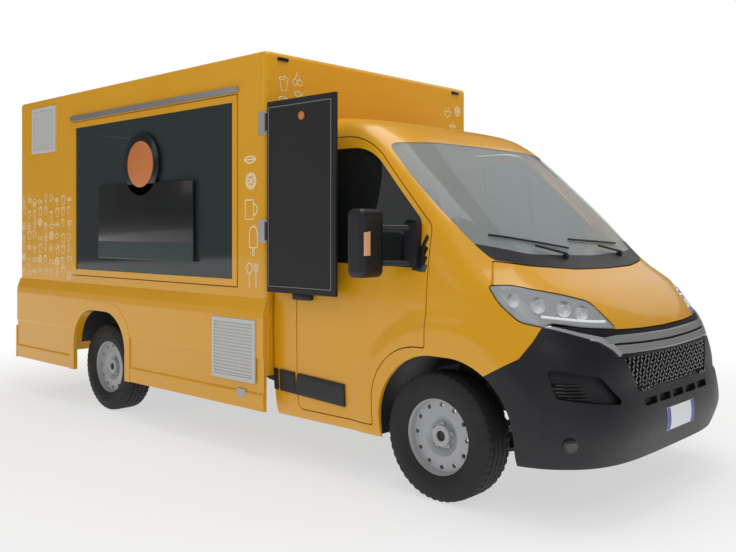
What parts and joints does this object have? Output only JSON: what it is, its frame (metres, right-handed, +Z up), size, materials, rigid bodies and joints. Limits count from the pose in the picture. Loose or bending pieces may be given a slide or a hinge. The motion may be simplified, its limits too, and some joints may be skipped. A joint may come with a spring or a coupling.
{
  "type": "food truck",
  "caption": "Box-bodied food truck on a van chassis cab with a side service hatch, doors, steered front wheels and fold-down legs.",
  "frame": {"origin": "on the ground under the middle of the overall length and width", "axes": "+X forward, +Y to the left side, +Z up"},
  "size_m": [5.8282, 2.6, 2.655],
  "materials": {
    "body_yellow": "gloss paint",
    "window_glass": "clear",
    "dark_glass": "tinted",
    "lamp_lens": "clear",
    "lamp_bowl": "satin",
    "dark_plastic": "textured",
    "red_lamp": "gloss",
    "tyre_rubber": "matte",
    "wheel_silver": "satin silver",
    "black_steel": "satin",
    "cast_iron": "raw",
    "leg_zinc": "zinc",
    "cab_floor_grey": "rubber mat",
    "seat_fabric": "woven",
    "counter_steel": "brushed",
    "anodised_aluminium": "anodised",
    "louvre_grey": "satin",
    "board_black": "matte",
    "hinge_zinc": "zinc"
  },
  "bodies": {
    "root": {"board_hinges": "hinge_zinc", "bonnet": "body_yellow", "box_floor": "cab_floor_grey", "box_front_wall": "body_yellow", "box_rear_wall": "body_yellow", "box_roof": "body_yellow", "box_side_left": "body_yellow", "box_side_right": "body_yellow", "cab_body": "body_yellow", "cab_floor": "cab_floor_grey", "chassis_frame": "black_steel", "cowl": "dark_plastic", "dashboard": "dark_plastic", "driver_seat": "seat_fabric", "engine": "cast_iron", "front_arch_liners": "dark_plastic", "front_bumper": "dark_plastic", "front_subframe": "black_steel", "front_wing_left": "body_yellow", "front_wing_right": "body_yellow", "grille": "dark_plastic", "hatch_header": "anodised_aluminium", "headlamp_bowls": "lamp_bowl", "headlamp_lenses": "lamp_lens", "louvres": "louvre_grey", "passenger_seat": "seat_fabric", "rear_axle": "black_steel", "rear_bumper": "body_yellow", "rear_lamps": "red_lamp", "service_counter": "counter_steel", "skirt_left": "body_yellow", "skirt_right": "body_yellow", "steering_wheel": "dark_plastic", "windscreen": "window_glass"},
    "wheel_front_left": {"tyre_front_left": "tyre_rubber", "rim_front_left": "wheel_silver"},
    "wheel_front_right": {"tyre_front_right": "tyre_rubber", "rim_front_right": "wheel_silver"},
    "wheel_rear_left": {"tyre_rear_left": "tyre_rubber", "rim_rear_left": "wheel_silver"},
    "wheel_rear_right": {"tyre_rear_right": "tyre_rubber", "rim_rear_right": "wheel_silver"},
    "knuckle_left": {"knuckle_left": "black_steel"},
    "knuckle_right": {"knuckle_right": "black_steel"},
    "door_left": {"door_left": "body_yellow", "door_glass_left": "window_glass", "mirror_left": "dark_plastic"},
    "door_right": {"door_right": "body_yellow", "door_glass_right": "window_glass", "mirror_right": "dark_plastic"},
    "service_hatch": {"service_hatch": "body_yellow", "hatch_glass": "dark_glass"},
    "rear_door": {"rear_door": "body_yellow"},
    "menu_board": {"menu_board": "board_black"},
    "leg_front_left": {"leg_front_left": "leg_zinc"},
    "leg_front_right": {"leg_front_right": "leg_zinc"},
    "leg_rear_left": {"leg_rear_left": "leg_zinc"},
    "leg_rear_right": {"leg_rear_right": "leg_zinc"}
  },
  "joints": [
    {"name": "steer_left", "type": "hinge", "parent": "root", "child": "knuckle_left", "pos_m": [1.968, 0.82, 0.2], "axis": [0, -0.232, 0.9727], "range_deg": [-33, 33]},
    {"name": "steer_right", "type": "hinge", "parent": "root", "child": "knuckle_right", "pos_m": [1.968, -0.82, 0.2], "axis": [0, 0.232, 0.9727], "range_deg": [-33, 33]},
    {"name": "spin_front_left", "type": "hinge", "parent": "knuckle_left", "child": "wheel_front_left", "pos_m": [1.968, 0.905, 0.354], "axis": [0, 1, 0], "continuous": true},
    {"name": "spin_front_right", "type": "hinge", "parent": "knuckle_right", "child": "wheel_front_right", "pos_m": [1.968, -0.905, 0.354], "axis": [0, 1, 0], "continuous": true},
    {"name": "spin_rear_left", "type": "hinge", "parent": "root", "child": "wheel_rear_left", "pos_m": [-1.482, 0.895, 0.354], "axis": [0, 1, 0], "continuous": true},
    {"name": "spin_rear_right", "type": "hinge", "parent": "root", "child": "wheel_rear_right", "pos_m": [-1.482, -0.895, 0.354], "axis": [0, 1, 0], "continuous": true},
    {"name": "door_left_hinge", "type": "hinge", "parent": "root", "child": "door_left", "pos_m": [1.9115, 1.045, 1], "axis": [0, 0, -1], "range_deg": [0, 62]},
    {"name": "door_right_hinge", "type": "hinge", "parent": "root", "child": "door_right", "pos_m": [1.9115, -1.045, 1], "axis": [0, 0, 1], "range_deg": [0, 62]},
    {"name": "hatch_hinge", "type": "hinge", "parent": "root", "child": "service_hatch", "pos_m": [-0.777, -1.093, 2.4], "axis": [-1, 0, 0], "range_deg": [0, 88]},
    {"name": "rear_door_hinge", "type": "hinge", "parent": "root", "child": "rear_door", "pos_m": [-2.884, 0.3635, 1.5], "axis": [0, 0, -1], "range_deg": [0, 100]},
    {"name": "board_hinge", "type": "hinge", "parent": "root", "child": "menu_board", "pos_m": [0.674, -1.116, 1.7], "axis": [0, 0, -1], "range_deg": [0, 170]},
    {"name": "leg_front_left_swing", "type": "hinge", "parent": "root", "child": "leg_front_left", "pos_m": [0.25, 0.9, 0.33], "axis": [0, -1, 0], "range_deg": [0, 90]},
    {"name": "leg_front_right_swing", "type": "hinge", "parent": "root", "child": "leg_front_right", "pos_m": [0.25, -0.9, 0.33], "axis": [0, -1, 0], "range_deg": [0, 90]},
    {"name": "leg_rear_left_swing", "type": "hinge", "parent": "root", "child": "leg_rear_left", "pos_m": [-2.65, 0.9, 0.33], "axis": [0, 1, 0], "range_deg": [0, 90]},
    {"name": "leg_rear_right_swing", "type": "hinge", "parent": "root", "child": "leg_rear_right", "pos_m": [-2.65, -0.9, 0.33], "axis": [0, 1, 0], "range_deg": [0, 90]}
  ],
  "couplings": [
    {"joint": "steer_right", "follows": "steer_left", "ratio": 1},
    {"joint": "door_right_hinge", "follows": "board_hinge", "ratio": 0.36471}
  ]
}
